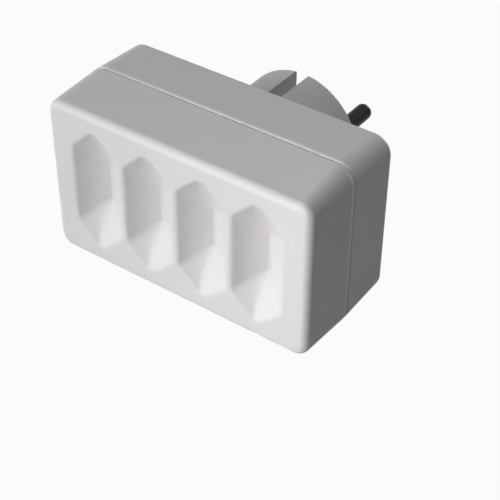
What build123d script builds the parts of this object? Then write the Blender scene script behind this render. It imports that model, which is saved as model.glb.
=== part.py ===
"""Four-way wall adapter for flat two-pin plugs, with a round contour plug behind.

The origin is on the plug's axis at its end face. +Y runs out along the pins, +Z is up
and +X is to the right as seen from the sockets. All sizes are in millimetres.
"""

import os
from math import sqrt

from build123d import *

os.makedirs("parts", exist_ok=True)

# Sockets: a row of dished recesses, long hexagons standing upright
socket_count = 4
socket_pitch = 16.7
recess_width = 15.0
recess_straight = 23.7
recess_length = 37.5
recess_depth = 6.0
recess_corner = 2.0
recess_rim_round = 1.6
recess_mid_depth = 3.0
recess_mid_width = 9.2
recess_mid_corner = 3.0
keel_length = 9.8
keel_width = 0.9
keel_corner = 0.35
hole_spacing = 19.0
hole_diameter = 4.6
hole_wall = 1.2
collar_diameter = 8.0

# Membranes in the pin holes, flush with the recess and slit crosswise for the pins
membrane = 0.8
membrane_clearance = 0.02
slit_length = 3.4
slit_width = 0.04

# Case: two drafted halves, largest where they meet
side_margin = 8.1
end_margin = 5.85
case_corner = 5.4
front_corner = 3.8
rear_corner = 5.0
front_depth = 17.9
rear_depth = 17.4
front_draft_x = 0.6
front_draft_z = 1.6
rear_draft_x = 0.15
rear_draft_z = 0.85
front_round = 2.1
rear_round = 1.5
seam_round = 0.5
wall = 2.0
case_rise = 1.0
tongue_height = 1.6
tongue_clearance = 0.15

# Contour plug: round body, clip slots above and below, guide grooves at the sides
plug_diameter = 36.0
plug_length = 21.6
plug_wall = 2.5
plug_end_wall = 3.0
plug_edge_round = 0.8
clip_slot_width = 4.1
clip_slot_depth = 5.5
clip_slot_wall = 1.8
guide_width = 6.0
guide_depth = 2.0
guide_wall = 1.6

# Plug pins
pin_diameter = 4.8
pin_length = 19.0
pin_spacing = 19.0
pin_tip_round = 1.8
pin_root_diameter = 5.4
pin_flange_diameter = 7.6
pin_flange = 1.2
pin_shank_diameter = 2.8
pin_rivet_diameter = 4.4
pin_rivet_head = 0.7
pin_clearance = 0.02

# Safety shutters: each slides down when both pins press on its ramps
mating_pin_diameter = 4.0
shutter_width = 8.4
shutter_base = 1.0
shutter_lead = 0.8
shutter_overlap = 0.3
shutter_clearance = 0.2
shutter_side_clearance = 0.25
shutter_travel = 5.2
ramp_depth = 4.4
ramp_run_out = 0.5
window_width = 5.2

# Shutter springs, zigzags of thin strip, and the post that each one stands on
spring_width = 3.4
spring_depth = 3.0
spring_gauge = 0.25
spring_folds = 3
spring_bend = 0.4
spring_clearance = 0.1
post_width = 3.0
post_height = 1.5
post_drop = 4.0

# Shutter plate: a tray with a pocket for each shutter and feet that hold the bars
plate_base = 1.8
plate_rail = 1.2
plate_rail_height = 3.4
plate_hole_clearance = 0.7
foot_width = 2.4
foot_height = 5.0

# Plate screws, driven from behind into bosses of the front cover
plate_screw_diameter = 2.2
plate_screw_length = 9.5
plate_screw_head = 4.2
plate_screw_head_height = 1.5
plate_boss_diameter = 5.0

# Contact clips, bus bars and rivets
clip_gap = 0.5
clip_height = 7.8
clip_width = 6.0
clip_gauge = 0.5
clip_base_width = 6.0
clip_neck_gap = 3.6
clip_neck_drop = 2.2
clip_mouth_gap = 5.6
clip_bend = 0.8
bar_gauge = 0.8
bar_width = 7.0
bar_overhang = 3.5
bar_support = 1.6
leg_clearance = 0.9
foot_diameter = 6.0
foot_overhang = 3.0
rivet_diameter = 2.4
rivet_head_diameter = 3.6
rivet_head = 0.6
rivet_clearance = 0.03

# Case screws, sunk into wells in the back
case_screw_diameter = 3.0
case_screw_head = 5.6
case_screw_head_height = 2.0
case_screw_bite = 9.0
case_screw_inset = 6.0
case_screw_clearance = 0.2
case_boss_diameter = 7.0
case_well_floor = 4.0
thread_clearance = 0.03
pilot_spare = 1.0
drive_width = 0.7
drive_depth = 0.9

# Case outline
case_width = (socket_count - 1) * socket_pitch + recess_width + 2 * side_margin
case_height = recess_length + 2 * end_margin

# Stations along Y, from the sockets back to the plug's end face at 0
rear_y = -plug_length
seam_y = rear_y - rear_depth
front_y = seam_y - front_depth
collar_y = front_y + recess_depth + hole_wall
shutter_y = collar_y + shutter_clearance
shutter_back_y = shutter_y + ramp_depth + shutter_base
plate_y = shutter_back_y + shutter_clearance
plate_back_y = plate_y + plate_base
rail_y = plate_y - plate_rail_height
clip_y = plate_back_y + clip_gap
bar_y = clip_y + clip_height
bar_back_y = bar_y + bar_gauge
rear_inner_y = rear_y - wall
pin_seat_y = -plug_end_wall
flange_y = pin_seat_y - pin_flange

# Places across the case
socket_xs = [(i - (socket_count - 1) / 2) * socket_pitch for i in range(socket_count)]
gap_xs = [(a + b) / 2 for a, b in zip(socket_xs, socket_xs[1:])]
outer_gap_xs = [gap_xs[0], gap_xs[-1]]
hole_zs = [-hole_spacing / 2, hole_spacing / 2]
case_screw_x = case_width / 2 - case_screw_inset
recess_sections = [
    (0, recess_width, recess_corner),
    (recess_mid_depth, recess_mid_width, recess_mid_corner),
    (recess_depth, keel_width, keel_corner),
]

# Shutter profile, along Z from the middle of its socket
hole_z = hole_spacing / 2
ramp_half = mating_pin_diameter / 2 + shutter_overlap
ramp_top = ramp_half + ramp_run_out
block_half = ramp_half + shutter_lead
window_low = -hole_z + ramp_top
window_high = hole_z - block_half - shutter_lead
shutter_low = -hole_z - block_half
shutter_high = hole_z + ramp_top


def case_plane(y):
    """Plane across the case at y, centred on the case, with its normal to the front."""
    return Plane(origin=(0, y, case_rise), x_dir=(1, 0, 0), z_dir=(0, -1, 0))


def plug_plane(y):
    """Plane across the plug at y, centred on the plug, with its normal to the front."""
    return Plane(origin=(0, y, 0), x_dir=(1, 0, 0), z_dir=(0, -1, 0))


def recess_outline(centre_x, width):
    """Corners of a recess's hexagon where it has narrowed to width, closing on its keel."""
    share = width / recess_width
    keel = keel_length / 2
    x = width / 2
    z_side = keel + (recess_straight / 2 - keel) * share
    z_tip = keel + (recess_length / 2 - keel) * share
    corners = [(x, -z_side), (x, z_side), (0, z_tip), (-x, z_side), (-x, -z_side), (0, -z_tip)]
    return [(centre_x + px, pz) for px, pz in corners]


def keep(name, builder):
    """Label a finished piece and write its file."""
    builder.part.label = name
    export_step(builder.part, f"parts/{name}.step")


# Front cover
with BuildPart() as front_cover:
    with BuildSketch(case_plane(seam_y)):
        RectangleRounded(case_width, case_height, case_corner)
    with BuildSketch(case_plane(front_y)):
        RectangleRounded(case_width - 2 * front_draft_x, case_height - 2 * front_draft_z, front_corner)
    loft(ruled=True)
    fillet(front_cover.faces().sort_by(Axis.Y)[0].edges(), front_round)
    fillet(front_cover.faces().sort_by(Axis.Y)[-1].edges(), seam_round)
    with BuildSketch(case_plane(seam_y)):
        RectangleRounded(case_width - 2 * wall, case_height - 2 * wall, case_corner - wall)
    with BuildSketch(case_plane(front_y + wall)):
        RectangleRounded(
            case_width - 2 * (wall + front_draft_x),
            case_height - 2 * (wall + front_draft_z),
            front_corner - wall,
        )
    loft(ruled=True, mode=Mode.SUBTRACT)

    # Backs of the recesses, collars round the pin holes and bosses for the screws
    for x in socket_xs:
        for depth, width, corner in recess_sections:
            with BuildSketch(case_plane(front_y + hole_wall + depth)) as section:
                Polygon(*recess_outline(x, width))
                fillet(section.vertices(), corner)
        loft()
    with BuildSketch(case_plane(collar_y)):
        with Locations(*[(x, z) for x in socket_xs for z in hole_zs]):
            Circle(collar_diameter / 2)
    extrude(amount=collar_y - front_y - wall)
    with BuildSketch(case_plane(rail_y)):
        with Locations(*[(x, 0) for x in outer_gap_xs]):
            Circle(plate_boss_diameter / 2)
    extrude(amount=rail_y - front_y - wall / 2)
    with BuildSketch(case_plane(seam_y)):
        with Locations((-case_screw_x, 0), (case_screw_x, 0)):
            Circle(case_boss_diameter / 2)
    extrude(amount=front_depth - wall / 2)

    # Recesses, pin holes and pilot holes
    for x in socket_xs:
        for depth, width, corner in recess_sections:
            with BuildSketch(case_plane(front_y + depth)) as section:
                Polygon(*recess_outline(x, width))
                fillet(section.vertices(), corner)
        loft(mode=Mode.SUBTRACT)
    with BuildSketch(case_plane(collar_y)):
        with Locations(*[(x, z) for x in socket_xs for z in hole_zs]):
            Circle(hole_diameter / 2)
    extrude(amount=collar_y - front_y, mode=Mode.SUBTRACT)
    with BuildSketch(case_plane(rail_y)):
        with Locations(*[(x, 0) for x in outer_gap_xs]):
            Circle(plate_screw_diameter / 2 + thread_clearance)
    extrude(amount=plate_screw_length - plate_rail_height - plate_base + pilot_spare, mode=Mode.SUBTRACT)
    with BuildSketch(case_plane(seam_y)):
        with Locations((-case_screw_x, 0), (case_screw_x, 0)):
            Circle(case_screw_diameter / 2 + thread_clearance)
    extrude(amount=case_screw_bite + pilot_spare, mode=Mode.SUBTRACT)

    # Rebate that takes the rear housing's tongue
    with BuildSketch(case_plane(seam_y)):
        RectangleRounded(case_width - wall, case_height - wall, case_corner - wall / 2)
        RectangleRounded(
            case_width - 2 * wall, case_height - 2 * wall, case_corner - wall, mode=Mode.SUBTRACT
        )
    extrude(amount=tongue_height + tongue_clearance, mode=Mode.SUBTRACT)
    front_face = front_cover.faces().sort_by(Axis.Y)[0]
    fillet([edge for rim in front_face.inner_wires() for edge in rim.edges()], recess_rim_round)
keep("front_cover", front_cover)

# Membranes of the pin holes
for number, x in enumerate(socket_xs, 1):
    with BuildPart() as pin_membrane:
        with BuildSketch(case_plane(collar_y)):
            with Locations(*[(x, z) for z in hole_zs]):
                Circle(hole_diameter / 2 - membrane_clearance)
        extrude(amount=collar_y - front_y)
        for setback, side_kept in ((membrane, Mode.INTERSECT), (0, Mode.SUBTRACT)):
            for depth, width, corner in recess_sections:
                with BuildSketch(case_plane(front_y + setback + depth)) as section:
                    Polygon(*recess_outline(x, width))
                    fillet(section.vertices(), corner)
            loft(mode=side_kept)
        with BuildSketch(case_plane(collar_y)):
            with Locations(*[(x, z) for z in hole_zs]):
                Rectangle(slit_length, slit_width)
                Rectangle(slit_width, slit_length)
        extrude(amount=collar_y - front_y, mode=Mode.SUBTRACT)
    keep(f"pin_membrane_{number}", pin_membrane)

# Rear housing with the plug body
with BuildPart() as rear_housing:
    with BuildSketch(case_plane(rear_y)):
        RectangleRounded(case_width - 2 * rear_draft_x, case_height - 2 * rear_draft_z, rear_corner)
    with BuildSketch(case_plane(seam_y)):
        RectangleRounded(case_width, case_height, case_corner)
    loft(ruled=True)
    fillet(rear_housing.faces().sort_by(Axis.Y)[-1].edges(), rear_round)
    fillet(rear_housing.faces().sort_by(Axis.Y)[0].edges(), seam_round)
    with BuildSketch(plug_plane(0)):
        Circle(plug_diameter / 2)
    extrude(amount=plug_length + wall / 2)
    fillet(rear_housing.faces().sort_by(Axis.Y)[-1].edges(), plug_edge_round)

    # Hollow of the case and of the plug
    with BuildSketch(case_plane(rear_inner_y)):
        RectangleRounded(
            case_width - 2 * (wall + rear_draft_x),
            case_height - 2 * (wall + rear_draft_z),
            rear_corner - wall,
        )
    with BuildSketch(case_plane(seam_y)):
        RectangleRounded(case_width - 2 * wall, case_height - 2 * wall, case_corner - wall)
    loft(ruled=True, mode=Mode.SUBTRACT)
    with BuildSketch(plug_plane(pin_seat_y)):
        Circle(plug_diameter / 2 - plug_wall)
    extrude(amount=plug_length - plug_end_wall + wall, mode=Mode.SUBTRACT)

    # Walls round the clip slots and guide grooves, then the slots and grooves
    with BuildSketch(plug_plane(pin_seat_y)):
        Circle(plug_diameter / 2 - plug_wall / 2)
        with BuildSketch(mode=Mode.INTERSECT):
            for side in (-1, 1):
                with Locations((0, side * plug_diameter / 2)):
                    Rectangle(
                        clip_slot_width + 2 * clip_slot_wall, 2 * (clip_slot_depth + clip_slot_wall)
                    )
                with Locations((side * plug_diameter / 2, 0)):
                    Rectangle(2 * (guide_depth + guide_wall), guide_width + 2 * guide_wall)
    extrude(amount=plug_length - plug_end_wall + wall)
    with BuildSketch(plug_plane(0)):
        for side in (-1, 1):
            with Locations((0, side * plug_diameter / 2)):
                Rectangle(clip_slot_width, 2 * clip_slot_depth)
            with Locations((side * plug_diameter / 2, 0)):
                Rectangle(2 * guide_depth, guide_width)
    extrude(amount=plug_length, mode=Mode.SUBTRACT)

    # Ribs under the bus bars
    with BuildSketch(case_plane(bar_back_y)):
        with Locations(*[(x, z) for x in outer_gap_xs for z in hole_zs]):
            Rectangle(bar_support, bar_width)
    extrude(amount=bar_back_y - rear_inner_y - wall / 2)

    # Bosses and wells for the case screws, and holes for the pins
    with BuildSketch(case_plane(seam_y)):
        with Locations((-case_screw_x, 0), (case_screw_x, 0)):
            Circle(case_boss_diameter / 2)
    extrude(amount=wall / 2 - rear_depth)
    with BuildSketch(case_plane(rear_y)):
        with Locations((-case_screw_x, 0), (case_screw_x, 0)):
            Circle(case_screw_head / 2 + case_screw_clearance)
    extrude(amount=rear_depth - case_well_floor, mode=Mode.SUBTRACT)
    with BuildSketch(case_plane(rear_y)):
        with Locations((-case_screw_x, 0), (case_screw_x, 0)):
            Circle(case_screw_diameter / 2 + case_screw_clearance)
    extrude(amount=rear_depth, mode=Mode.SUBTRACT)
    with BuildSketch(plug_plane(0)):
        with Locations((-pin_spacing / 2, 0), (pin_spacing / 2, 0)):
            Circle(pin_root_diameter / 2 + pin_clearance)
    extrude(amount=plug_end_wall, mode=Mode.SUBTRACT)

    # Tongue that enters the front cover
    with BuildSketch(case_plane(seam_y)):
        RectangleRounded(
            case_width - wall - 2 * tongue_clearance,
            case_height - wall - 2 * tongue_clearance,
            case_corner - wall / 2 - tongue_clearance,
        )
        RectangleRounded(
            case_width - 2 * wall, case_height - 2 * wall, case_corner - wall, mode=Mode.SUBTRACT
        )
    extrude(amount=tongue_height)
keep("rear_housing", rear_housing)

# Plug pins, each with a flange inside the end wall and a shank riveted over its bar
for side, name in ((-1, "plug_pin_left"), (1, "plug_pin_right")):
    with BuildPart() as plug_pin:
        pin_axis_plane = Plane(origin=(side * pin_spacing / 2, 0, 0), x_dir=(1, 0, 0), z_dir=(0, 0, 1))
        head_y = flange_y - bar_gauge
        with BuildSketch(pin_axis_plane):
            with BuildLine():
                Polyline(
                    (0, pin_length),
                    (pin_diameter / 2, pin_length),
                    (pin_diameter / 2, 0),
                    (pin_root_diameter / 2, 0),
                    (pin_root_diameter / 2, pin_seat_y),
                    (pin_flange_diameter / 2, pin_seat_y),
                    (pin_flange_diameter / 2, flange_y),
                    (pin_shank_diameter / 2, flange_y),
                    (pin_shank_diameter / 2, head_y),
                    (pin_rivet_diameter / 2, head_y),
                    (pin_rivet_diameter / 2, head_y - pin_rivet_head),
                    (0, head_y - pin_rivet_head),
                    close=True,
                )
            make_face()
        revolve(axis=Axis((side * pin_spacing / 2, 0, 0), (0, 1, 0)))
        fillet(plug_pin.faces().sort_by(Axis.Y)[-1].edges(), pin_tip_round)
    keep(name, plug_pin)

# Shutter plate
with BuildPart() as shutter_plate:
    pocket_half = shutter_width / 2 + shutter_side_clearance
    pocket_low = shutter_low - shutter_travel - shutter_clearance
    pocket_high = shutter_high + shutter_clearance
    plate_half = socket_xs[-1] + pocket_half + plate_rail
    plate_low = pocket_low - plate_rail
    plate_high = pocket_high + plate_rail
    with BuildSketch(case_plane(plate_back_y)):
        with Locations((0, (plate_low + plate_high) / 2)):
            RectangleRounded(2 * plate_half, plate_high - plate_low, plate_rail)
    extrude(amount=plate_base + plate_rail_height)
    with BuildSketch(case_plane(plate_y)):
        with Locations(*[(x, (pocket_low + pocket_high) / 2) for x in socket_xs]):
            Rectangle(2 * pocket_half, pocket_high - pocket_low)
    extrude(amount=plate_rail_height, mode=Mode.SUBTRACT)
    with BuildSketch(case_plane(plate_y)):
        with Locations(*[(x, -post_drop - post_height / 2) for x in socket_xs]):
            Rectangle(post_width, post_height)
    extrude(amount=spring_depth + spring_clearance)
    with BuildSketch(case_plane(plate_back_y)):
        with Locations(*[(x, z) for x in socket_xs for z in hole_zs]):
            Circle(mating_pin_diameter / 2 + plate_hole_clearance)
        with Locations(*[(x, 0) for x in outer_gap_xs]):
            Circle(plate_screw_diameter / 2 + thread_clearance)
    extrude(amount=plate_base + plate_rail_height, mode=Mode.SUBTRACT)
    with BuildSketch(case_plane(bar_y)):
        with Locations(*[(x, z) for x in outer_gap_xs for z in hole_zs]):
            Rectangle(foot_width, foot_height)
    extrude(amount=bar_y - plate_back_y)
keep("shutter_plate", shutter_plate)

# Shutters, each a frame with two ramps
for number, x in enumerate(socket_xs, 1):
    with BuildPart() as shutter:
        side_plane = Plane(origin=(x, 0, case_rise), x_dir=(0, 1, 0), z_dir=(1, 0, 0))
        ramp_foot_y = shutter_y + ramp_depth
        with BuildSketch(side_plane):
            with BuildLine():
                Polyline(
                    (shutter_back_y, shutter_low),
                    (shutter_y, shutter_low),
                    (shutter_y, -hole_z - ramp_half),
                    (ramp_foot_y, -hole_z + ramp_top),
                    (ramp_foot_y, window_high),
                    (shutter_y, window_high),
                    (shutter_y, hole_z - ramp_half),
                    (ramp_foot_y, shutter_high),
                    (shutter_back_y, shutter_high),
                    close=True,
                )
            make_face()
        extrude(amount=shutter_width / 2, both=True)
        with BuildSketch(case_plane(shutter_back_y)):
            with Locations((x, (window_low + window_high) / 2)):
                Rectangle(window_width, window_high - window_low)
        extrude(amount=ramp_depth + shutter_base, mode=Mode.SUBTRACT)
    keep(f"shutter_{number}", shutter)

# Springs between each post and its shutter
for number, x in enumerate(socket_xs, 1):
    with BuildPart() as shutter_spring:
        spring_half = (spring_width - spring_gauge) / 2
        spring_low = -post_drop + spring_clearance + spring_gauge / 2
        spring_high = window_high - spring_clearance - spring_gauge / 2
        rise = (spring_high - spring_low) / spring_folds
        sides = [spring_half * (-1) ** fold for fold in range(spring_folds + 3)]
        folds = [spring_low + rise * fold for fold in range(spring_folds + 1)]
        heights = [spring_low] + folds + [spring_high]
        with BuildSketch(case_plane(plate_y - spring_clearance)):
            with BuildLine():
                FilletPolyline(*[(x + side, z) for side, z in zip(sides, heights)], radius=spring_bend)
            trace(line_width=spring_gauge)
        extrude(amount=spring_depth)
    keep(f"shutter_spring_{number}", shutter_spring)

# Plate screws
with BuildPart() as plate_screws:
    with BuildSketch(case_plane(plate_back_y)):
        with Locations(*[(x, 0) for x in outer_gap_xs]):
            Circle(plate_screw_diameter / 2)
    extrude(amount=plate_screw_length)
    with BuildSketch(case_plane(plate_back_y)):
        with Locations(*[(x, 0) for x in outer_gap_xs]):
            Circle(plate_screw_head / 2)
    extrude(amount=-plate_screw_head_height)
    with BuildSketch(case_plane(plate_back_y + plate_screw_head_height)):
        with Locations(*[(x, 0) for x in outer_gap_xs]):
            Rectangle(plate_screw_head, drive_width)
    extrude(amount=drive_depth, mode=Mode.SUBTRACT)
keep("plate_screws", plate_screws)

# Bus bars: a strip past every clip, with a leg folded back to the pin and a foot on its flange
for side, name in ((1, "bus_bar_upper"), (-1, "bus_bar_lower")):
    with BuildPart() as bus_bar:
        pin_x = -side * pin_spacing / 2
        bar_z = side * hole_z
        edge_z = case_rise + bar_z - side * bar_width / 2
        foot_end_z = -side * foot_overhang
        leg_face_z = abs(edge_z + side * bar_gauge)
        with BuildSketch(case_plane(bar_back_y)):
            with Locations((0, bar_z)):
                Rectangle(2 * (socket_xs[-1] + bar_overhang), bar_width)
            with Locations(*[(x, bar_z) for x in socket_xs]):
                Circle(rivet_diameter / 2 + rivet_clearance, mode=Mode.SUBTRACT)
        extrude(amount=bar_gauge)
        leg_plane = Plane(origin=(pin_x, 0, 0), x_dir=(0, 1, 0), z_dir=(1, 0, 0))
        with BuildSketch(leg_plane):
            with BuildLine():
                Polyline(
                    (bar_y, edge_z + side * bar_gauge),
                    (flange_y, edge_z + side * bar_gauge),
                    (flange_y, foot_end_z),
                    (flange_y - bar_gauge, foot_end_z),
                    (flange_y - bar_gauge, edge_z),
                    (bar_y, edge_z),
                    close=True,
                )
            make_face()
        leg_reach = sqrt((plug_diameter / 2 - plug_wall) ** 2 - leg_face_z**2)
        extrude(amount=leg_reach - pin_spacing / 2 - leg_clearance, both=True)
        with BuildSketch(plug_plane(flange_y)):
            with Locations((pin_x, 0)):
                Circle(foot_diameter / 2)
        extrude(amount=bar_gauge)
        with BuildSketch(plug_plane(flange_y)):
            with Locations((pin_x, 0)):
                Circle(pin_shank_diameter / 2 + rivet_clearance)
        extrude(amount=bar_gauge, mode=Mode.SUBTRACT)
    keep(name, bus_bar)

# Contact clips and the rivets that hold them
for row, z in (("upper", hole_z), ("lower", -hole_z)):
    for number, x in enumerate(socket_xs, 1):
        with BuildPart() as contact_clip:
            clip_plane = Plane(origin=(x, 0, case_rise + z), x_dir=(1, 0, 0), z_dir=(0, 0, 1))
            base_y = bar_y - clip_gauge / 2
            base_half = (clip_base_width - clip_gauge) / 2
            neck_half = (clip_neck_gap + clip_gauge) / 2
            mouth_half = (clip_mouth_gap + clip_gauge) / 2
            neck_y = clip_y + clip_neck_drop
            with BuildSketch(clip_plane):
                with BuildLine():
                    FilletPolyline(
                        (-mouth_half, clip_y),
                        (-neck_half, neck_y),
                        (-base_half, base_y),
                        (base_half, base_y),
                        (neck_half, neck_y),
                        (mouth_half, clip_y),
                        radius=clip_bend,
                    )
                trace(line_width=clip_gauge)
            extrude(amount=clip_width / 2, both=True)
            with BuildSketch(case_plane(bar_y)):
                with Locations((x, z)):
                    Circle(rivet_diameter / 2 + rivet_clearance)
            extrude(amount=clip_gauge, mode=Mode.SUBTRACT)
        keep(f"contact_clip_{row}_{number}", contact_clip)
    with BuildPart() as contact_rivets:
        with BuildSketch(case_plane(bar_back_y)):
            with Locations(*[(x, z) for x in socket_xs]):
                Circle(rivet_diameter / 2)
        extrude(amount=bar_gauge + clip_gauge)
        for face_y, growth in ((bar_back_y, -rivet_head), (bar_y - clip_gauge, rivet_head)):
            with BuildSketch(case_plane(face_y)):
                with Locations(*[(x, z) for x in socket_xs]):
                    Circle(rivet_head_diameter / 2)
            extrude(amount=growth)
    keep(f"contact_rivets_{row}", contact_rivets)

# Case screws
with BuildPart() as case_screws:
    head_seat_y = seam_y + case_well_floor
    with BuildSketch(case_plane(head_seat_y)):
        with Locations((-case_screw_x, 0), (case_screw_x, 0)):
            Circle(case_screw_diameter / 2)
    extrude(amount=case_well_floor + case_screw_bite)
    with BuildSketch(case_plane(head_seat_y)):
        with Locations((-case_screw_x, 0), (case_screw_x, 0)):
            Circle(case_screw_head / 2)
    extrude(amount=-case_screw_head_height)
    with BuildSketch(case_plane(head_seat_y + case_screw_head_height)):
        with Locations((-case_screw_x, 0), (case_screw_x, 0)):
            Rectangle(case_screw_head, drive_width)
            Rectangle(drive_width, case_screw_head)
    extrude(amount=drive_depth, mode=Mode.SUBTRACT)
keep("case_screws", case_screws)
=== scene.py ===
"""Dresses the four-way adapter: moulded white case, dark pins, formed inner metal and a plain studio.

Sizes are in metres and places are in the frame's axes. The origin is on the plug's axis at its end face.
+Y runs out along the pins, +Z is up and +X is to the right as seen from the sockets.
"""

import logging
import math
from collections.abc import Mapping, Sequence
from dataclasses import dataclass
from enum import Enum
from typing import TypeAlias

import bpy
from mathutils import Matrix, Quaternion, Vector


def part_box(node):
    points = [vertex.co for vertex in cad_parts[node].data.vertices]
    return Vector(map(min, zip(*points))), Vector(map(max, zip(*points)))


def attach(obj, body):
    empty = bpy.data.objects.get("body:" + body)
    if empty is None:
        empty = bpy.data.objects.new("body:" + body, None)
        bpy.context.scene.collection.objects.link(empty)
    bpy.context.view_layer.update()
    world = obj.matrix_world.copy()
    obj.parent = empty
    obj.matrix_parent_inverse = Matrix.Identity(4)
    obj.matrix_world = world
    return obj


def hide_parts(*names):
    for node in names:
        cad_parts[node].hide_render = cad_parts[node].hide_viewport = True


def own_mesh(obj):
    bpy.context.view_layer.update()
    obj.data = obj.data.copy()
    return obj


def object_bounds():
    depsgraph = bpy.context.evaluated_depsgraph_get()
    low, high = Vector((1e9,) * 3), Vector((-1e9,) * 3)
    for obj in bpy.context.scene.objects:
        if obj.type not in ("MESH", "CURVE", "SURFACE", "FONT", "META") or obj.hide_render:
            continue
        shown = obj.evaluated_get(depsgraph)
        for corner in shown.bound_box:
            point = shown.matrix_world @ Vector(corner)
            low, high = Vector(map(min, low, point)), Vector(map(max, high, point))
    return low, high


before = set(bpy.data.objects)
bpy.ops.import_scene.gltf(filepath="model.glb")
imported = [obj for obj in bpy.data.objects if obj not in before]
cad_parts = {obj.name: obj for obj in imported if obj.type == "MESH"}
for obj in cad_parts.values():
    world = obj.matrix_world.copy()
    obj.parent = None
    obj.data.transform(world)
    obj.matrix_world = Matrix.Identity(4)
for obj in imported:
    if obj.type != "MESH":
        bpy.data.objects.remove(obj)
cad_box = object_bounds()

LOG = logging.getLogger("adapter")
MM = 0.001
FULL_TURN = 2.0 * math.pi
QUARTER_TURN = 0.5 * math.pi
NOISE_MIDDLE = 0.5
WHITE = (1.0, 1.0, 1.0, 1.0)
CASE_BODY = "case"

Colour: TypeAlias = tuple[float, float, float]
Triple: TypeAlias = tuple[float, float, float]
Operand: TypeAlias = "Signal | float | int | bool | Sequence[float] | bpy.types.ID"


class ColourMix(Enum):
    """Socket numbers of a Mix node that works on colours."""

    FACTOR = 0
    FIRST = 6
    SECOND = 7
    RESULT = 2


class InputKind(Enum):
    """Kinds of named input that a shape tree takes."""

    LENGTH = "NodeSocketFloat"
    COUNT = "NodeSocketInt"
    PLACE = "NodeSocketVector"
    MATERIAL = "NodeSocketMaterial"
    SOLID = "NodeSocketObject"


class Signal:
    """An output socket whose values work in Python expressions."""

    def __init__(self, graph: "NodeGraph", socket: bpy.types.NodeSocket) -> None:
        """Wrap a socket of a graph."""
        self.graph = graph
        self.socket = socket

    def of(self, output: str) -> "Signal":
        """Return another output of the same node."""
        return Signal(self.graph, self.socket.node.outputs[output])

    def math(self, operation: str, first: Operand, second: Operand = 0.0) -> "Signal":
        """Add a Math node.

        Args:
            operation: The Math node's operation.
            first: Value or signal for its first socket.
            second: Value or signal for its second socket.

        Returns:
            The node's result.
        """
        return self.graph.add("ShaderNodeMath", {"operation": operation}, {0: first, 1: second})

    def __add__(self, other: Operand) -> "Signal":
        """Return the sum."""
        return self.math("ADD", self, other)

    def __radd__(self, other: Operand) -> "Signal":
        """Return the sum, from the right."""
        return self.math("ADD", other, self)

    def __sub__(self, other: Operand) -> "Signal":
        """Return the difference."""
        return self.math("SUBTRACT", self, other)

    def __rsub__(self, other: Operand) -> "Signal":
        """Return the difference, from the right."""
        return self.math("SUBTRACT", other, self)

    def __mul__(self, other: Operand) -> "Signal":
        """Return the product."""
        return self.math("MULTIPLY", self, other)

    def __rmul__(self, other: Operand) -> "Signal":
        """Return the product, from the right."""
        return self.math("MULTIPLY", other, self)

    def __truediv__(self, other: Operand) -> "Signal":
        """Return the quotient."""
        return self.math("DIVIDE", self, other)

    def __pow__(self, other: Operand) -> "Signal":
        """Return the power."""
        return self.math("POWER", self, other)

    def __abs__(self) -> "Signal":
        """Return the size without its sign."""
        return self.math("ABSOLUTE", self)

    def at_least(self, other: Operand) -> "Signal":
        """Return the larger of the two."""
        return self.math("MAXIMUM", self, other)

    def at_most(self, other: Operand) -> "Signal":
        """Return the smaller of the two."""
        return self.math("MINIMUM", self, other)


class NodeGraph:
    """A node tree that is written one node at a time."""

    def __init__(self, tree: bpy.types.NodeTree) -> None:
        """Work on an empty tree."""
        self.tree = tree

    def add(
        self,
        kind: str,
        settings: Mapping[str, object] | None = None,
        inputs: Mapping[str | int, object] | None = None,
        output: str | int = 0,
    ) -> Signal:
        """Add a node.

        Args:
            kind: The node's type.
            settings: The node's own settings, with a ramp's stops as "stops".
            inputs: Values, signals or lists of signals for its sockets.
            output: Name or number of the output to return.

        Returns:
            The chosen output.
        """
        node = self.tree.nodes.new(kind)
        for name, value in (settings or {}).items():
            if name == "stops":
                self._set_stops(node.color_ramp, value)
            else:
                setattr(node, name, value)
        for name, value in (inputs or {}).items():
            socket = node.inputs[name]
            for item in value if isinstance(value, list) else [value]:
                if isinstance(item, Signal):
                    self.tree.links.new(item.socket, socket)
                else:
                    socket.default_value = item
        return Signal(self, node.outputs[output])

    @staticmethod
    def _set_stops(ramp: bpy.types.ColorRamp, stops: Sequence[tuple[float, float]]) -> None:
        """Give a ramp grey stops.

        Args:
            ramp: The ramp.
            stops: Its stops, each a place and a level.
        """
        while len(ramp.elements) < len(stops):
            ramp.elements.new(1.0)
        for element, (place, level) in zip(ramp.elements, stops):
            element.position = place
            element.color = (level, level, level, 1.0)

    def parts(self, vector: Signal) -> tuple[Signal, Signal, Signal]:
        """Split a vector into its X, Y and Z."""
        split = self.add("ShaderNodeSeparateXYZ", None, {"Vector": vector})
        return split, split.of("Y"), split.of("Z")

    def vector(self, x: Operand, y: Operand, z: Operand) -> Signal:
        """Join X, Y and Z into a vector."""
        return self.add("ShaderNodeCombineXYZ", None, {"X": x, "Y": y, "Z": z})


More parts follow.
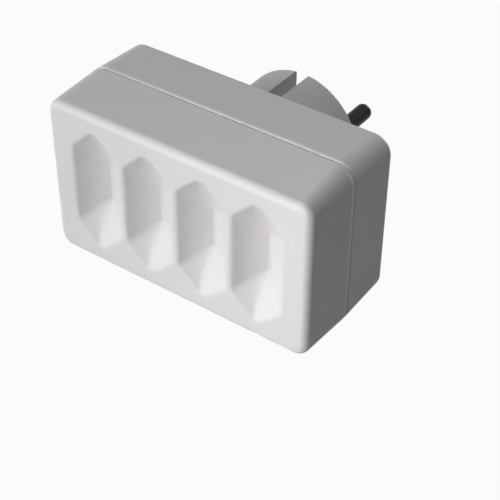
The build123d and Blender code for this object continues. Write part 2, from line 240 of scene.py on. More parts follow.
class FinishGraph(NodeGraph):
    """The node tree of one material."""

    def __init__(self, name: str) -> None:
        """Start an empty material.

        Args:
            name: The material's name.
        """
        self.material = bpy.data.materials.new(name)
        self.material.use_nodes = True
        self.material.node_tree.nodes.clear()
        super().__init__(self.material.node_tree)

    def coordinates(self, stretch: Sequence[float] = (1.0, 1.0, 1.0)) -> Signal:
        """Return the piece's own coordinates, scaled along each axis."""
        place = self.add("ShaderNodeTexCoord", None, None, "Object")
        return self.add("ShaderNodeMapping", None, {"Vector": place, "Scale": stretch})

    def noise(self, vector: Signal, size: float, detail: float = 2.0) -> Signal:
        """Return noise whose features are about as large as size."""
        sockets = {"Vector": vector, "Scale": 1.0 / size, "Detail": detail}
        return self.add("ShaderNodeTexNoise", None, sockets)

    def blend(self, factor: Signal, first: Signal | Colour, second: Colour) -> Signal:
        """Mix two colours by a factor.

        Args:
            factor: 0 for the first colour and 1 for the second.
            first: The first colour, plain or already mixed.
            second: The second colour.

        Returns:
            The mixed colour.
        """
        sockets = {
            ColourMix.FACTOR.value: factor,
            ColourMix.FIRST.value: first if isinstance(first, Signal) else (*first, 1.0),
            ColourMix.SECOND.value: (*second, 1.0),
        }
        return self.add("ShaderNodeMix", {"data_type": "RGBA"}, sockets, ColourMix.RESULT.value)

    def bump(self, height: Signal, depth: float, below: Signal | None = None) -> Signal:
        """Turn a height into a relief.

        Args:
            height: The height, from 0 to 1.
            depth: The relief's depth.
            below: A relief that this one lies on.

        Returns:
            The relief's normal.
        """
        sockets: dict[str | int, object] = {"Height": height, "Distance": depth}
        if below is not None:
            sockets["Normal"] = below
        return self.add("ShaderNodeBump", None, sockets)

    def close(self, **sockets: object) -> bpy.types.Material:
        """Feed a Principled shader and end the tree.

        Args:
            **sockets: The shader's sockets, with underscores for spaces.

        Returns:
            The finished material.
        """
        named = {name.replace("_", " "): value for name, value in sockets.items()}
        shader = self.add("ShaderNodeBsdfPrincipled", None, named)
        self.show(shader)
        return self.material

    def show(self, surface: Signal) -> None:
        """Link a shader to the material's output."""
        end = self.tree.nodes.new("ShaderNodeOutputMaterial")
        self.tree.links.new(surface.socket, end.inputs["Surface"])


class ShapeGraph(NodeGraph):
    """A Geometry Nodes tree with named inputs, which ends in real faces with a material."""

    def __init__(self, name: str, inputs: Mapping[str, InputKind]) -> None:
        """Start a tree.

        Args:
            name: The tree's name.
            inputs: Named inputs and their kinds. A material input is added to them.
        """
        super().__init__(bpy.data.node_groups.new(name, "GeometryNodeTree"))
        face = self.tree.interface
        face.new_socket("Geometry", in_out="OUTPUT", socket_type="NodeSocketGeometry")
        self.identifiers: dict[str, str] = {}
        for label, kind in {**inputs, "Material": InputKind.MATERIAL}.items():
            item = face.new_socket(label, in_out="INPUT", socket_type=kind.value)
            self.identifiers[label] = item.identifier
        self._entry = self.tree.nodes.new("NodeGroupInput")

    def value(self, label: str) -> Signal:
        """Return a named input."""
        return Signal(self, self._entry.outputs[label])

    def place(self, geometry: Signal, position: Signal) -> Signal:
        """Move every point to a position."""
        sockets = {"Geometry": geometry, "Position": position}
        return self.add("GeometryNodeSetPosition", None, sockets)

    def merge(self, operation: str, first: Signal | None, others: list[Signal]) -> Signal:
        """Join closed forms with an exact boolean.

        Args:
            operation: UNION or DIFFERENCE.
            first: The form that a difference cuts, or none for a union.
            others: The forms to add or to cut away.

        Returns:
            The resulting form.
        """
        sockets: dict[str | int, object] = {"Mesh 2": others}
        if first is not None:
            sockets["Mesh 1"] = first
        return self.add("GeometryNodeMeshBoolean", {"operation": operation, "solver": "EXACT"}, sockets)

    def row(self, piece: Signal) -> Signal:
        """Repeat a piece by the inputs Count, First and Step.

        Args:
            piece: The piece, standing along +Z.

        Returns:
            The row, with each piece turned so that it stands along +Y.
        """
        count, first, step = (self.value(label) for label in ("Count", "First", "Step"))
        sockets = {"Count": count, "Start Location": first, "Offset": step}
        line = self.add("GeometryNodeMeshLine", {"mode": "OFFSET"}, sockets)
        turned = {"Points": line, "Instance": piece, "Rotation": (-QUARTER_TURN, 0.0, 0.0)}
        return self.add("GeometryNodeInstanceOnPoints", None, turned)

    def close(self, geometry: Signal) -> None:
        """End the tree in real faces with the material input.

        Args:
            geometry: What the tree has made.
        """
        real = self.add("GeometryNodeRealizeInstances", None, {"Geometry": geometry})
        sockets = {"Geometry": real, "Material": self.value("Material")}
        dressed = self.add("GeometryNodeSetMaterial", None, sockets)
        end = self.tree.nodes.new("NodeGroupOutput")
        self.tree.links.new(dressed.socket, end.inputs["Geometry"])

    def grow(self, name: str, values: Mapping[str, object], crease: float) -> bpy.types.Object:
        """Make a plain mesh object from the tree.

        Args:
            name: The piece's name.
            values: A value for every named input.
            crease: Angle past which an edge stays sharp.

        Returns:
            The piece, at the origin, with its place in its mesh.
        """
        piece = bpy.data.objects.new(name, bpy.data.meshes.new(name))
        bpy.context.scene.collection.objects.link(piece)
        modifier = piece.modifiers.new("shape", "NODES")
        modifier.node_group = self.tree
        for label, value in values.items():
            modifier[self.identifiers[label]] = value
        graph = bpy.context.evaluated_depsgraph_get()
        made = bpy.data.meshes.new_from_object(piece.evaluated_get(graph), depsgraph=graph)
        piece.modifiers.remove(modifier)
        piece.data = made
        made.shade_smooth()
        made.set_sharp_from_angle(angle=crease)
        return piece


class Across(Enum):
    """Axes across the case, by their place in a vector."""

    WIDTH = 0
    HEIGHT = 2


@dataclass(frozen=True)
class SeamHighlight:
    """A painted highlight beside the parting groove: a paler, patchy band on the faces that lie far out
    along one axis.
    """

    across: Across
    out: float
    near: float
    far: float
    fade: float
    # Colour of the painted highlight, paler than the plastic.
    colour: Colour = (0.990, 0.960, 0.985)
    seam: float = -39.0 * MM
    out_fade: float = 1.2 * MM
    patch: float = 7.0 * MM
    highlight_level: float = 0.90
    highlight_spread: float = 1.6

    def share(self, graph: FinishGraph, place: Signal) -> Signal:
        """Measure how strongly the painted highlight lies on a place.

        Args:
            graph: The material's tree.
            place: The piece's own coordinates.

        Returns:
            The share, from 0 to 1.
        """
        axes = graph.parts(place)
        ahead = self.seam - axes[1]
        band = ((ahead - self.near) / self.fade).at_most((self.far - ahead) / self.fade)
        outer = (abs(axes[self.across.value]) - self.out) / self.out_fade
        # Noise makes the painted highlight patchy.
        highlight_patches = self.highlight_level + self.highlight_spread * (graph.noise(place, self.patch, 1.0) - NOISE_MIDDLE)
        return band.at_most(1.0).at_least(0.0) * outer.at_most(1.0).at_least(0.0) * highlight_patches.at_most(1.0)


@dataclass(frozen=True)
class MouldedPlastic:
    """Injection-moulded plastic with a fine spark-eroded grain, slow changes of tone and optional
    painted highlights beside the parting groove.
    """

    name: str
    colour: Colour
    shade: Colour
    roughness: float
    spread: float = 0.08
    patch: float = 14.0 * MM
    grain: float = 0.30 * MM
    relief: float = 0.004 * MM
    ripple: float = 5.0 * MM
    ripple_relief: float = 0.010 * MM
    seam_highlights: tuple[SeamHighlight, ...] = ()
    patch_detail: float = 3.0
    ripple_detail: float = 1.0
    refraction: float = 1.49

    def make(self) -> bpy.types.Material:
        """Make the plastic.

        Returns:
            The material.
        """
        graph = FinishGraph(self.name)
        place = graph.coordinates()
        tone = graph.noise(place, self.patch, self.patch_detail)
        fine = graph.noise(place, self.grain)
        slow = graph.bump(graph.noise(place, self.ripple, self.ripple_detail), self.ripple_relief)
        uneven = self.spread * (tone - NOISE_MIDDLE)
        paint = graph.blend(tone, self.colour, self.shade)
        # Paint the seam highlights into the base colour: painted light beside the parting groove.
        for edge in self.seam_highlights:
            paint = graph.blend(edge.share(graph, place), paint, edge.colour)
        return graph.close(
            Base_Color=paint,
            Roughness=self.roughness + uneven + self.spread * (fine - NOISE_MIDDLE),
            Normal=graph.bump(fine, self.relief, slow),
            IOR=self.refraction,
        )


@dataclass(frozen=True)
class TurnedMetal:
    """Lathe-turned and plated metal with fine rings round the Y axis."""

    name: str
    colour: Colour
    bloom: Colour
    roughness: float
    ring: float = 0.16 * MM
    relief: float = 0.0015 * MM
    patch: float = 2.5 * MM
    patch_detail: float = 3.0
    around: Triple = (0.02, 1.0, 0.02)
    ring_spread: float = 0.10
    patch_spread: float = 0.16

    def make(self) -> bpy.types.Material:
        """Make the metal.

        Returns:
            The material.
        """
        graph = FinishGraph(self.name)
        rings = graph.noise(graph.coordinates(self.around), self.ring)
        cloud = graph.noise(graph.coordinates(), self.patch, self.patch_detail)
        uneven = self.ring_spread * (rings - NOISE_MIDDLE)
        return graph.close(
            Base_Color=graph.blend(cloud, self.colour, self.bloom),
            Metallic=1.0,
            Roughness=self.roughness + uneven + self.patch_spread * (cloud - NOISE_MIDDLE),
            Normal=graph.bump(rings, self.relief),
        )


@dataclass(frozen=True)
class RolledMetal:
    """Rolled strip or wire with streaks along its length and a light tarnish."""

    name: str
    colour: Colour
    tarnish: Colour
    roughness: float
    along: Triple = (0.04, 1.0, 1.0)
    streak: float = 0.25 * MM
    relief: float = 0.002 * MM
    patch: float = 3.0 * MM
    patch_detail: float = 4.0
    clean_below: float = 0.42
    dull_above: float = 0.72
    streak_spread: float = 0.15
    stain_spread: float = 0.12

    def make(self) -> bpy.types.Material:
        """Make the metal.

        Returns:
            The material.
        """
        graph = FinishGraph(self.name)
        streaks = graph.noise(graph.coordinates(self.along), self.streak)
        cloud = graph.noise(graph.coordinates(), self.patch, self.patch_detail)
        stops = {"stops": ((self.clean_below, 0.0), (self.dull_above, 1.0))}
        stain = graph.add("ShaderNodeValToRGB", stops, {"Fac": cloud})
        uneven = self.streak_spread * (streaks - NOISE_MIDDLE)
        return graph.close(
            Base_Color=graph.blend(stain, self.colour, self.tarnish),
            Metallic=1.0,
            Roughness=self.roughness + uneven + self.stain_spread * stain,
            Normal=graph.bump(streaks, self.relief),
        )


class Finish(Enum):
    """The finishes of the adapter, by the record's slot."""

    WHITE_PLASTIC = MouldedPlastic(
        "white_plastic", (0.750, 0.727, 0.746), (0.718, 0.696, 0.714), 0.46,
        # Painted highlights beside the parting groove: paler bands ahead of the seam on the sides,
        # behind it on the top and bottom.
        seam_highlights=(
            SeamHighlight(Across.WIDTH, 38.4 * MM, 0.25 * MM, 1.35 * MM, 0.12 * MM),
            SeamHighlight(Across.HEIGHT, 23.9 * MM, -1.30 * MM, -0.05 * MM, 0.40 * MM),
        ),
    )
    MEMBRANE_RUBBER = MouldedPlastic(
        "membrane_rubber", (0.750, 0.727, 0.746), (0.718, 0.696, 0.714), 0.50
    )
    SHUTTER_PLASTIC = MouldedPlastic("shutter_plastic", (0.80, 0.80, 0.80), (0.74, 0.74, 0.735), 0.50)
    NATURAL_PLASTIC = MouldedPlastic("natural_plastic", (0.70, 0.68, 0.60), (0.64, 0.61, 0.52), 0.52)
    PIN_METAL = TurnedMetal("pin_metal", (0.018, 0.017, 0.013), (0.032, 0.030, 0.022), 0.36)
    BRASS_STRIP = RolledMetal("brass_strip", (0.78, 0.57, 0.22), (0.50, 0.33, 0.12), 0.30)
    CLIP_BRONZE = RolledMetal(
        "clip_bronze", (0.72, 0.42, 0.21), (0.45, 0.24, 0.11), 0.32, along=(1.0, 0.04, 1.0)
    )
    RIVET_BRASS = RolledMetal(
        "rivet_brass", (0.80, 0.62, 0.30), (0.55, 0.38, 0.16), 0.28, along=(1.0, 1.0, 1.0)
    )
    SPRING_STEEL = RolledMetal("spring_steel", (0.52, 0.52, 0.53), (0.36, 0.35, 0.34), 0.28)
    SCREW_STEEL = RolledMetal(
        "screw_steel", (0.56, 0.56, 0.55), (0.42, 0.41, 0.37), 0.34, along=(1.0, 1.0, 1.0)
    )

    @property
    def slot(self) -> str:
        """Return the name of the record's slot."""
        return self.value.name


class Finishes:
    """Makes each finish once."""

    def __init__(self) -> None:
        """Start with none."""
        self._made: dict[Finish, bpy.types.Material] = {}

    def get(self, finish: Finish) -> bpy.types.Material:
        """Find a finish, or make it.

        Args:
            finish: The finish.

        Returns:
            Its material.
        """
        if finish not in self._made:
            self._made[finish] = finish.value.make()
        return self._made[finish]

    def dress(self, node: str, finish: Finish) -> None:
        """Give a solid of the frame its finish.

        Args:
            node: The solid's node.
            finish: The finish.
        """
        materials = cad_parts[node].data.materials
        materials.clear()
        materials.append(self.get(finish))
        LOG.info("dressed %s in %s", node, finish.slot)

    def stand_in(self, piece: bpy.types.Object, body: str, node: str) -> None:
        """Let a formed piece ride on a body in place of a solid.

        Args:
            piece: The formed piece.
            body: The body that carries it.
            node: The solid's node.
        """
        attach(piece, body)
        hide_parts(node)
        LOG.info("formed %s in place of %s", piece.name, node)


@dataclass
class Case:
    """The two moulded halves, the inner tray and the plug pins."""

    halves: tuple[str, ...] = ("front_cover", "rear_housing")
    tray: str = "shutter_plate"
    pins: tuple[str, ...] = ("plug_pin_left", "plug_pin_right")

    def build(self, finishes: Finishes) -> None:
        """Dress the solids.

        Args:
            finishes: The store of finishes.
        """
        for node in self.halves:
            finishes.dress(node, Finish.WHITE_PLASTIC)
        finishes.dress(self.tray, Finish.NATURAL_PLASTIC)
        for node in self.pins:
            finishes.dress(node, Finish.PIN_METAL)


@dataclass
class PinMembranes:
    """The soft skins in the pin holes, whose slits lie closed until a plug parts them."""

    count: int = 4
    holes: int = 2
    sides: int = 48
    rings: int = 12
    slack: float = 0.02 * MM
    edge: float = 0.015 * MM
    slit: float = 0.03 * MM
    reach: float = 8.0 * MM
    crease: float = math.radians(40.0)

    def skin_tree(self) -> ShapeGraph:
        """Grow round skins that take their faces from a solid with slits.

        Returns:
            The tree.
        """
        places = {"First": InputKind.PLACE, "Step": InputKind.PLACE}
        numbers = {"Radius": InputKind.LENGTH, "Count": InputKind.COUNT}
        graph = ShapeGraph("closed_skin", {"Solid": InputKind.SOLID, **numbers, **places})
        radius, first, step = (graph.value(label) for label in ("Radius", "First", "Step"))
        faces = {"Vertices": self.sides, "Fill Segments": self.rings}
        sizes = {"Radius": radius + self.slack, "Depth": self.reach}
        disc = graph.add("GeometryNodeMeshCylinder", {"fill_type": "TRIANGLE_FAN"}, {**faces, **sizes})
        half_side = (0.0, 0.0, 0.5 * FULL_TURN / self.sides)
        turned = graph.add("GeometryNodeTransform", None, {"Geometry": disc, "Rotation": half_side})
        discs = graph.add("GeometryNodeRealizeInstances", None, {"Geometry": graph.row(turned)})

        x, y, z = graph.parts(graph.add("GeometryNodeInputPosition"))
        middle_x, middle_y, first_z = graph.parts(first)
        step_z = graph.parts(step)[2]
        number = (z - first_z) / step_z
        middle_z = first_z + step_z * number.math("ROUND", number)
        share = (radius - self.edge) / (radius + self.slack)
        samples = []
        for place, middle in ((x, middle_x), (z, middle_z)):
            off = place - middle
            way = off.math("SIGN", off + self.edge * self.edge)
            samples.append(middle + way * (abs(off) * share).at_least(self.slit))
        side = y.math("SIGN", y - middle_y)
        solid = graph.add("GeometryNodeObjectInfo", None, {"Object": graph.value("Solid")}, "Geometry")
        found = graph.add(
            "GeometryNodeRaycast",
            None,
            {
                "Target Geometry": solid,
                "Source Position": graph.vector(samples[0], middle_y + side * self.reach, samples[1]),
                "Ray Direction": graph.vector(0.0, -1.0 * side, 0.0),
                "Ray Length": 2.0 * self.reach,
            },
            "Hit Position",
        )
        graph.close(graph.place(discs, graph.vector(x, graph.parts(found)[1], z)))
        return graph

    def build(self, finishes: Finishes) -> None:
        """Form the skins of each socket.

        Args:
            finishes: The store of finishes.
        """
        tree = self.skin_tree()
        for number in range(1, self.count + 1):
            node = f"pin_membrane_{number}"
            low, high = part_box(node)
            middle = (low + high) / 2
            radius = (high.x - low.x) / 2
            values = {
                "Solid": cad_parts[node],
                "Radius": radius,
                "Count": self.holes,
                "First": (middle.x, middle.y, low.z + radius),
                "Step": (0.0, 0.0, (high.z - low.z - 2 * radius) / (self.holes - 1)),
                "Material": finishes.get(Finish.MEMBRANE_RUBBER),
            }
            skin = tree.grow(f"closed_membrane_{number}", values, self.crease)
            finishes.stand_in(skin, CASE_BODY, node)


@dataclass
class SafetyShutters:
    """The sliding shutters and the zigzag strip that pushes each one up."""

    count: int = 4
    folds: int = 3
    end_points: int = 3
    bend: float = 0.4 * MM
    bend_steps: int = 6
    gauge: float = 0.25 * MM
    crease: float = math.radians(40.0)
    keep: float = 0.45
    seat_gap: float = 0.1 * MM

    def strip_tree(self) -> ShapeGraph:
        """Grow a folded strip between two heights.

        Returns:
            The tree.
        """
        lengths = ("Half Width", "Low", "High", "Bend", "Gauge", "Depth")
        inputs = {label: InputKind.LENGTH for label in lengths}
        others = {"Folds": InputKind.COUNT, "Middle": InputKind.PLACE}
        graph = ShapeGraph("folded_strip", {**inputs, **others})
        folds, low = graph.value("Folds"), graph.value("Low")
        line = graph.add("GeometryNodeMeshLine", {"mode": "OFFSET"}, {"Count": folds + self.end_points})
        number = graph.add("GeometryNodeInputIndex")
        side = graph.value("Half Width") * number.math("COSINE", number * math.pi)
        rise = (graph.value("High") - low) / folds
        height = low + rise * (number - 1.0).at_least(0.0).at_most(folds)
        corners = graph.place(line, graph.vector(side, height, 0.0))
        path = graph.add("GeometryNodeMeshToCurve", None, {"Mesh": corners})
        bends = {"Count": self.bend_steps, "Radius": graph.value("Bend"), "Limit Radius": True}
        rounded = graph.add("GeometryNodeFilletCurve", {"mode": "POLY"}, {"Curve": path, **bends})
        flat = graph.add("GeometryNodeSetCurveNormal", {"mode": "Z_UP"}, {"Curve": rounded})
        section = graph.add(
            "GeometryNodeCurvePrimitiveQuadrilateral",
            {"mode": "RECTANGLE"},
            {"Width": graph.value("Gauge"), "Height": graph.value("Depth")},
        )
        sweep = {"Curve": flat, "Profile Curve": section, "Fill Caps": True}
        strip = graph.add("GeometryNodeCurveToMesh", None, sweep)
        stand = {"Rotation": (QUARTER_TURN, 0.0, 0.0), "Translation": graph.value("Middle")}
        graph.close(graph.add("GeometryNodeTransform", None, {"Geometry": strip, **stand}))
        return graph

    def build(self, finishes: Finishes) -> None:
        """Dress the shutters and form their springs.

        Args:
            finishes: The store of finishes.
        """
        tree = self.strip_tree()
        for number in range(1, self.count + 1):
            finishes.dress(f"shutter_{number}", Finish.SHUTTER_PLASTIC)
            node = f"shutter_spring_{number}"
            low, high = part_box(node)
            middle = (low + high) / 2
            values = {
                "Half Width": (high.x - low.x - self.gauge) / 2,
                "Low": low.z + self.gauge / 2,
                "High": high.z - self.gauge / 2,
                "Bend": self.bend,
                "Gauge": self.gauge,
                "Depth": high.y - low.y,
                "Folds": self.folds,
                "Middle": (middle.x, middle.y, 0.0),
                "Material": finishes.get(Finish.SPRING_STEEL),
            }
            spring = tree.grow(f"folded_spring_{number}", values, self.crease)
            finishes.stand_in(spring, CASE_BODY, node)
            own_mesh(spring)


@dataclass
class RoundHeads:
    """Forms that screws and rivets share."""

    sides: int = 28
    rings: int = 6
    crown: float = 0.24
    crown_power: float = 4.0

    def cylinder(self, graph: ShapeGraph, radius: Operand, depth: Operand, rings: Operand) -> Signal:
        """Return a closed cylinder round Z, centred on the origin."""
        sockets = {"Vertices": self.sides, "Side Segments": rings, "Radius": radius, "Depth": depth}
        return graph.add("GeometryNodeMeshCylinder", {"fill_type": "NGON"}, sockets)

    def head(
        self, graph: ShapeGraph, radius: Signal, height: Signal, base: Operand, way: float
    ) -> Signal:
        """Return a crowned head.

        Args:
            graph: The tree.
            radius: The head's radius.
            height: The head's height.
            base: Where its flat side lies along Z.
            way: 1 for a crown towards +Z and -1 for one towards -Z.

        Returns:
            The closed head.
        """
        plain = self.cylinder(graph, radius, height, self.rings)
        x, y, z = graph.parts(graph.add("GeometryNodeInputPosition"))
        share = way * z / height + 0.5
        waist = 1.0 - self.crown * share ** self.crown_power
        return graph.place(plain, graph.vector(x * waist, y * waist, z + way * height * 0.5 + base))


@dataclass
class Contacts(RoundHeads):
    """The bus bars, the clips that grip a plug's pins, and the rivets through both."""

    rows: tuple[str, ...] = ("upper", "lower")
    count: int = 4
    shank_radius: float = 1.2 * MM
    head_height: float = 0.6 * MM
    crease: float = math.radians(40.0)

    def rivet_tree(self) -> ShapeGraph:
        """Grow a row of rivets with a crowned head at each end.

        Returns:
            The tree.
        """
        lengths = ("Shank Radius", "Head Radius", "Head Height", "Grip")
        inputs = {label: InputKind.LENGTH for label in lengths}
        places = {"First": InputKind.PLACE, "Step": InputKind.PLACE}
        graph = ShapeGraph("rivet_row", {**inputs, "Count": InputKind.COUNT, **places})
        radius, height, grip = (graph.value(label) for label in lengths[1:])
        shank = self.cylinder(graph, graph.value("Shank Radius"), grip + height, 1)
        heads = [self.head(graph, radius, height, way * grip * 0.5, way) for way in (1.0, -1.0)]
        graph.close(graph.row(graph.merge("UNION", None, [shank, *heads])))
        return graph

    def build(self, finishes: Finishes) -> None:
        """Dress the strips and clips and form the rivets.

        Args:
            finishes: The store of finishes.
        """
        tree = self.rivet_tree()
        for row in self.rows:
            finishes.dress(f"bus_bar_{row}", Finish.BRASS_STRIP)
            for number in range(1, self.count + 1):
                finishes.dress(f"contact_clip_{row}_{number}", Finish.CLIP_BRONZE)
            node = f"contact_rivets_{row}"
            low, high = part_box(node)
            middle = (low + high) / 2
            radius = (high.z - low.z) / 2
            pitch = (high.x - low.x - 2 * radius) / (self.count - 1)
            values = {
                "Shank Radius": self.shank_radius,
                "Head Radius": radius,
                "Head Height": self.head_height,
                "Grip": high.y - low.y - 2 * self.head_height,
                "Count": self.count,
                "First": (low.x + radius, middle.y, middle.z),
                "Step": (pitch, 0.0, 0.0),
                "Material": finishes.get(Finish.RIVET_BRASS),
            }
            rivets = tree.grow(f"crowned_rivets_{row}", values, self.crease)
            finishes.stand_in(rivets, CASE_BODY, node)


@dataclass(frozen=True)
class ScrewKind:
    """One kind of self-tapping screw, used in a pair."""

    node: str
    name: str
    shank_radius: float
    head_height: float
    pitch: float
    thread: float
    slot_reach: float
    cross_reach: float
    slot_width: float
    slot_depth: float


@dataclass
class Screws(RoundHeads):
    """The screws that close the case and those that hold the tray."""

    kinds: tuple[ScrewKind, ...] = (
        ScrewKind(
            "case_screws", "threaded_case_screws", 1.5 * MM, 2.0 * MM, 1.3 * MM, 0.30 * MM,
            1.8 * MM, 1.8 * MM, 0.7 * MM, 0.9 * MM,
        ),
        ScrewKind(
            "plate_screws", "threaded_plate_screws", 1.1 * MM, 1.5 * MM, 1.0 * MM, 0.24 * MM,
            2.2 * MM, 0.35 * MM, 0.7 * MM, 0.9 * MM,
        ),
    )
    count: int = 2
    rings_per_turn: float = 8.0
    point: float = 0.5
    point_turns: float = 2.0
    root: float = 0.3
    crease: float = math.radians(32.0)

    def screw_tree(self) -> ShapeGraph:
        """Grow a row of threaded screws with a driven head.

        Returns:
            The tree.
        """
        lengths = (
            "Shank Radius", "Shank Length", "Head Radius", "Head Height", "Pitch", "Thread",
            "Slot Reach", "Cross Reach", "Slot Width", "Slot Depth",
        )
        inputs = {label: InputKind.LENGTH for label in lengths}
        places = {"First": InputKind.PLACE, "Step": InputKind.PLACE}
        graph = ShapeGraph("screw_row", {**inputs, "Count": InputKind.COUNT, **places})
        radius, length, head_radius, head_height, pitch, thread = (graph.value(x) for x in lengths[:6])
        reach, cross, width, depth = (graph.value(x) for x in lengths[6:])

        rings = length / pitch * self.rings_per_turn
        plain = self.cylinder(graph, radius, length, rings)
        x, y, z = graph.parts(graph.add("GeometryNodeInputPosition"))
        turn = z / pitch - x.math("ARCTAN2", y, x) / FULL_TURN
        ridge = 2.0 * turn.math("PINGPONG", turn, 0.5)
        rise = ((z / length + 0.5) * length / (self.point_turns * pitch)).at_most(1.0)
        waist = (1.0 - thread / radius * (1.0 - ridge)) * (self.point + (1.0 - self.point) * rise)
        lift = head_height * self.root - length * 0.5
        shank = graph.place(plain, graph.vector(x * waist, y * waist, z + lift))

        head = self.head(graph, head_radius, head_height, 0.0, 1.0)
        whole = graph.merge("UNION", None, [shank, head])
        cuts = []
        for size_x, size_y in ((reach * 2.0, width), (width, cross * 2.0)):
            size = graph.vector(size_x, size_y, depth * 2.0)
            block = graph.add("GeometryNodeMeshCube", None, {"Size": size})
            raised = {"Geometry": block, "Translation": graph.vector(0.0, 0.0, head_height)}
            cuts.append(graph.add("GeometryNodeTransform", None, raised))
        graph.close(graph.row(graph.merge("DIFFERENCE", whole, cuts)))
        return graph

    def build(self, finishes: Finishes) -> None:
        """Form both pairs of screws.

        Args:
            finishes: The store of finishes.
        """
        tree = self.screw_tree()
        for kind in self.kinds:
            low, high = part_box(kind.node)
            middle = (low + high) / 2
            radius = (high.z - low.z) / 2
            values = {
                "Shank Radius": kind.shank_radius,
                "Shank Length": high.y - low.y - kind.head_height + self.root * kind.head_height,
                "Head Radius": radius,
                "Head Height": kind.head_height,
                "Pitch": kind.pitch,
                "Thread": kind.thread,
                "Slot Reach": kind.slot_reach,
                "Cross Reach": kind.cross_reach,
                "Slot Width": kind.slot_width,
                "Slot Depth": kind.slot_depth,
                "Count": self.count,
                "First": (low.x + radius, high.y - kind.head_height, middle.z),
                "Step": (high.x - low.x - 2 * radius, 0.0, 0.0),
                "Material": finishes.get(Finish.SCREW_STEEL),
            }
            screws = tree.grow(kind.name, values, self.crease)
            finishes.stand_in(screws, CASE_BODY, kind.node)


@dataclass(frozen=True)
class Lamp:
    """A square soft lamp that faces the object."""

    name: str
    azimuth: float
    elevation: float
    distance: float
    size: float
    power: float
    spread: float = 180.0
    shift: float = 0.0

    def hang(self, aim: Vector) -> None:
        """Hang the lamp round a point, by azimuth from the sockets' side and height above the floor.

        Args:
            aim: The point.
        """
        light = bpy.data.lights.new(self.name, "AREA")
        light.shape = "SQUARE"
        light.size = self.size
        light.energy = self.power
        light.spread = math.radians(self.spread)
        lamp = bpy.data.objects.new(self.name, light)
        bpy.context.scene.collection.objects.link(lamp)
        back = facing(self.azimuth, self.elevation)
        lamp.location = aim + Vector((self.shift, 0.0, 0.0)) + back * self.distance
        lamp.rotation_mode = "QUATERNION"
        lamp.rotation_quaternion = back.to_track_quat("Z", "Y")


def facing(azimuth: float, elevation: float) -> Vector:
    """Return the direction from the object to a viewer, both angles in degrees."""
    a, e = math.radians(azimuth), math.radians(elevation)
    return Vector((math.sin(a) * math.cos(e), -math.cos(a) * math.cos(e), math.sin(e)))


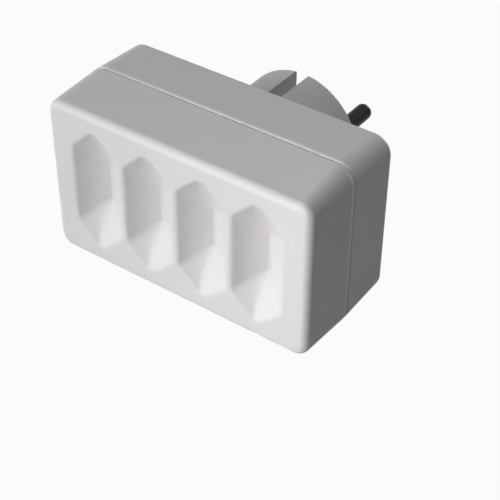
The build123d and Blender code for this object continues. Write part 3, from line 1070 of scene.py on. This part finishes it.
@dataclass
class Studio:
    """Pale floor, soft lamps and the camera at the photograph's angle."""

    azimuth: float = 35.284
    elevation: float = 39.104
    roll: float = 0.430
    distance: float = 336.795 * MM
    lens: float = 92.27
    aim: Triple = (9.176 * MM, -37.075 * MM, -14.636 * MM)
    clip: tuple[float, float] = (0.01, 20.0)
    floor_half: float = 2.5
    floor_colour: Colour = (0.42, 0.42, 0.42)
    floor_glow: float = 0.955
    floor_speck: float = 3.0 * MM
    floor_speck_shade: float = 0.97
    sheen: float = 0.6
    sky: float = 0.01
    lamps: tuple[Lamp, ...] = (
        Lamp("key", -16.0, 12.0, 1.60, 0.90, 16.8),
        Lamp("side", -58.0, 16.0, 1.60, 0.90, 6.4),
        Lamp("top", 8.0, 80.0, 0.90, 0.60, 1.90),
        Lamp("back", 174.0, 20.0, 1.60, 0.90, 1.2),
        Lamp("rear", 180.0, 4.0, 1.60, 0.50, 10.0),
        Lamp("beam", -16.0, 12.0, 0.45, 0.10, 0.016, 30.0, 0.08),
    )

    def backdrop_share(self, graph: NodeGraph) -> Signal:
        """Tell rays that see the background from those that only carry light.

        Args:
            graph: The tree of the floor or the world.

        Returns:
            1 for rays that see it straight, less in a reflection and 0 for the rest.
        """
        path = graph.add("ShaderNodeLightPath", None, None, "Is Camera Ray")
        seen = path.at_least(self.sheen * path.of("Is Glossy Ray"))
        return seen.at_least(path.of("Is Transmission Ray"))

    def lay_floor(self, level: float) -> None:
        """Lay the floor.

        Args:
            level: Its height.
        """
        half = self.floor_half
        signs = ((-1, -1), (1, -1), (1, 1), (-1, 1))
        corners = [(x * half, y * half, level) for x, y in signs]
        mesh = bpy.data.meshes.new("floor")
        mesh.from_pydata(corners, [], [(0, 1, 2, 3)])
        floor = bpy.data.objects.new("floor", mesh)
        bpy.context.scene.collection.objects.link(floor)
        graph = FinishGraph("pale_floor")
        speck = graph.noise(graph.coordinates(), self.floor_speck)
        darker = tuple(self.floor_speck_shade * value for value in self.floor_colour)
        paint = graph.blend(speck, self.floor_colour, darker)
        matt = graph.add("ShaderNodeBsdfDiffuse", None, {"Color": paint})
        glow = graph.add("ShaderNodeEmission", None, {"Color": WHITE, "Strength": 1.0})
        share = self.floor_glow * self.backdrop_share(graph)
        graph.show(graph.add("ShaderNodeMixShader", None, {0: share, 1: matt, 2: glow}))
        mesh.materials.append(graph.material)

    def light_sky(self) -> None:
        """Light the world faintly and show it as white."""
        world = bpy.data.worlds.new("studio")
        world.use_nodes = True
        world.node_tree.nodes.clear()
        bpy.context.scene.world = world
        graph = NodeGraph(world.node_tree)
        seen = self.backdrop_share(graph)
        strength = self.sky + (1.0 - self.sky) * seen
        sky = graph.add("ShaderNodeBackground", None, {"Color": WHITE, "Strength": strength})
        end = world.node_tree.nodes.new("ShaderNodeOutputWorld")
        world.node_tree.links.new(sky.socket, end.inputs["Surface"])

    def set_camera(self) -> None:
        """Stand the camera where the photograph was taken from."""
        data = bpy.data.cameras.new("camera")
        data.lens = self.lens
        data.clip_start, data.clip_end = self.clip
        camera = bpy.data.objects.new("camera", data)
        bpy.context.scene.collection.objects.link(camera)
        back = facing(self.azimuth, self.elevation)
        camera.location = Vector(self.aim) + back * self.distance
        camera.rotation_mode = "QUATERNION"
        level = back.to_track_quat("Z", "Y")
        camera.rotation_quaternion = level @ Quaternion((0.0, 0.0, 1.0), math.radians(self.roll))
        bpy.context.scene.camera = camera

    def build(self) -> None:
        """Set up the floor, the light and the camera."""
        low, high = cad_box
        self.lay_floor(low.z)
        self.light_sky()
        for lamp in self.lamps:
            lamp.hang((low + high) / 2)
        self.set_camera()
        bpy.context.scene.view_settings.view_transform = "Standard"


def main() -> None:
    """Dress the adapter and set up the studio."""
    logging.basicConfig(level=logging.INFO, format="%(name)s: %(message)s")
    finishes = Finishes()
    Case().build(finishes)
    PinMembranes().build(finishes)
    SafetyShutters().build(finishes)
    Contacts().build(finishes)
    Screws().build(finishes)
    Studio().build()


if __name__ == "__main__":
    main()
